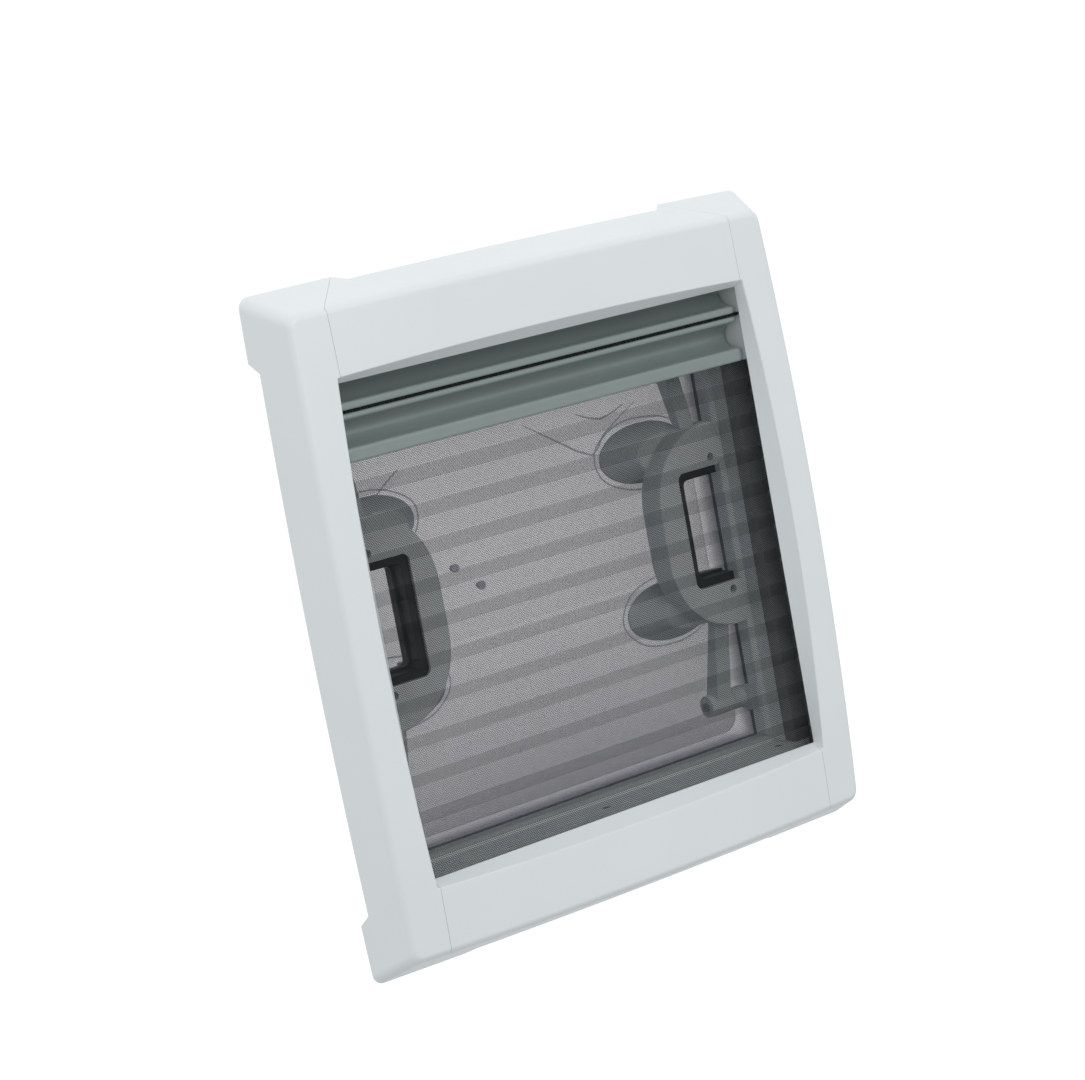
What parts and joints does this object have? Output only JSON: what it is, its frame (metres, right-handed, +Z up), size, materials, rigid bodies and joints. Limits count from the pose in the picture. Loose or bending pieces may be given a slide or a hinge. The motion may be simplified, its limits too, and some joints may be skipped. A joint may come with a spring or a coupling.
{
  "type": "roof light",
  "caption": "Square camper roof light seen from the room: white moulded frame, pleated fly screen and blackout blind on grey rails, clear dome pushed up by two side handles on arms.",
  "frame": {"origin": "centre of the square roof cut-out, on the ceiling face that the frame's feet rest on", "axes": "+Y out through the roof, -Y into the room; +Z up the frame, towards the end where the blackout blind is parked; +X to the right seen from the room"},
  "size_m": [0.4706, 0.1252, 0.5262],
  "materials": {
    "white_plastic": "satin white moulded ABS",
    "frame_grey": "fine-textured grey moulded ASA",
    "grey_plastic": "fine-textured light grey moulded nylon",
    "rail_grey": "satin grey powder-coated extrusion",
    "black_plastic": "fine-textured black moulded nylon",
    "acrylic": "clear blown acrylic",
    "plug_grey": "moulded polyethylene",
    "rubber_seal": "extruded grey EPDM",
    "butyl_seal": "butyl tape",
    "brush_black": "nylon pile",
    "fly_mesh": "woven dark screen mesh, pleated",
    "blackout_cloth": "foil-backed pleated polyester",
    "screw_steel": "zinc-plated steel"
  },
  "bodies": {
    "frame": {"frame_side_left": "white_plastic", "blind_guide_left": "frame_grey", "frame_screw_left": "screw_steel", "frame_side_right": "white_plastic", "blind_guide_right": "frame_grey", "frame_screw_right": "screw_steel", "frame_rail_top": "white_plastic", "blind_cassette_top": "white_plastic", "frame_screw_top": "screw_steel", "frame_rail_bottom": "white_plastic", "blind_cassette_bottom": "white_plastic", "frame_screw_bottom": "screw_steel", "outer_frame_left": "white_plastic", "roof_seal_left": "butyl_seal", "outer_frame_right": "white_plastic", "roof_seal_right": "butyl_seal", "outer_frame_top": "white_plastic", "roof_seal_top": "butyl_seal", "outer_frame_bottom": "white_plastic", "roof_seal_bottom": "butyl_seal", "frame_screw_top_left": "screw_steel", "arm_bracket_top_left": "grey_plastic", "arm_pin_top_left": "screw_steel", "frame_screw_top_right": "screw_steel", "arm_bracket_top_right": "grey_plastic", "arm_pin_top_right": "screw_steel", "frame_screw_bottom_left": "screw_steel", "arm_bracket_bottom_left": "grey_plastic", "arm_pin_bottom_left": "screw_steel", "frame_screw_bottom_right": "screw_steel", "arm_bracket_bottom_right": "grey_plastic", "arm_pin_bottom_right": "screw_steel", "dome_seal": "rubber_seal", "fly_screen": "fly_mesh", "blackout_blind": "blackout_cloth"},
    "fly_rail": {"fly_screen_rail": "rail_grey", "fly_rail_end_left": "grey_plastic", "fly_rail_end_right": "grey_plastic"},
    "blackout": {"blackout_rail": "rail_grey", "brush_seal": "brush_black", "blackout_rail_end_left": "grey_plastic", "blackout_rail_end_right": "grey_plastic"},
    "dome": {"outer_dome": "acrylic", "inner_dome": "acrylic", "breather_plug_1": "plug_grey", "breather_plug_2": "plug_grey", "handle_left": "grey_plastic", "handle_right": "grey_plastic", "handle_screw_left_top": "screw_steel", "handle_screw_right_top": "screw_steel", "handle_screw_left_bottom": "screw_steel", "handle_screw_right_bottom": "screw_steel"},
    "left_trigger": {"trigger_left": "black_plastic"},
    "top_left_arm": {"arm_top_left": "grey_plastic"},
    "bottom_left_arm": {"arm_bottom_left": "grey_plastic"},
    "right_trigger": {"trigger_right": "black_plastic"},
    "top_right_arm": {"arm_top_right": "grey_plastic"},
    "bottom_right_arm": {"arm_bottom_right": "grey_plastic"}
  },
  "joints": [
    {"name": "fly_screen_pull", "type": "slide", "parent": "frame", "child": "fly_rail", "axis": [0, 0, -1], "range_m": [0, 0.335], "deforming": ["fly_screen"]},
    {"name": "blackout_pull", "type": "slide", "parent": "frame", "child": "blackout", "axis": [0, 0, -1], "range_m": [0, 0.335], "deforming": ["blackout_blind"]},
    {"name": "dome_lift", "type": "slide", "parent": "frame", "child": "dome", "axis": [0, 1, 0], "range_m": [0, 0.06]},
    {"name": "top_left_arm_swing", "type": "hinge", "parent": "frame", "child": "top_left_arm", "pos_m": [-0.158, 0.044, 0.153], "axis": [1, 0, 0], "range_deg": [0, 41.16]},
    {"name": "top_right_arm_swing", "type": "hinge", "parent": "frame", "child": "top_right_arm", "pos_m": [0.158, 0.044, 0.153], "axis": [1, 0, 0], "range_deg": [0, 41.16]},
    {"name": "bottom_left_arm_swing", "type": "hinge", "parent": "frame", "child": "bottom_left_arm", "pos_m": [-0.158, 0.044, -0.153], "axis": [-1, 0, 0], "range_deg": [0, 41.16]},
    {"name": "bottom_right_arm_swing", "type": "hinge", "parent": "frame", "child": "bottom_right_arm", "pos_m": [0.158, 0.044, -0.153], "axis": [-1, 0, 0], "range_deg": [0, 41.16]},
    {"name": "left_trigger_squeeze", "type": "slide", "parent": "dome", "child": "left_trigger", "axis": [1, 0, 0], "range_m": [0, 0.003], "stiffness_N_per_m": 900, "springref_m": -0.001},
    {"name": "right_trigger_squeeze", "type": "slide", "parent": "dome", "child": "right_trigger", "axis": [-1, 0, 0], "range_m": [0, 0.003], "stiffness_N_per_m": 900, "springref_m": -0.001}
  ],
  "couplings": [
    {"joint": "blackout_pull", "follows": "fly_screen_pull", "ratio": 1},
    {"joint": "top_left_arm_swing", "follows": "dome_lift", "rad_per_m": 11.959},
    {"joint": "top_right_arm_swing", "follows": "dome_lift", "rad_per_m": 11.959},
    {"joint": "bottom_left_arm_swing", "follows": "dome_lift", "rad_per_m": 11.959},
    {"joint": "bottom_right_arm_swing", "follows": "dome_lift", "rad_per_m": 11.959}
  ]
}
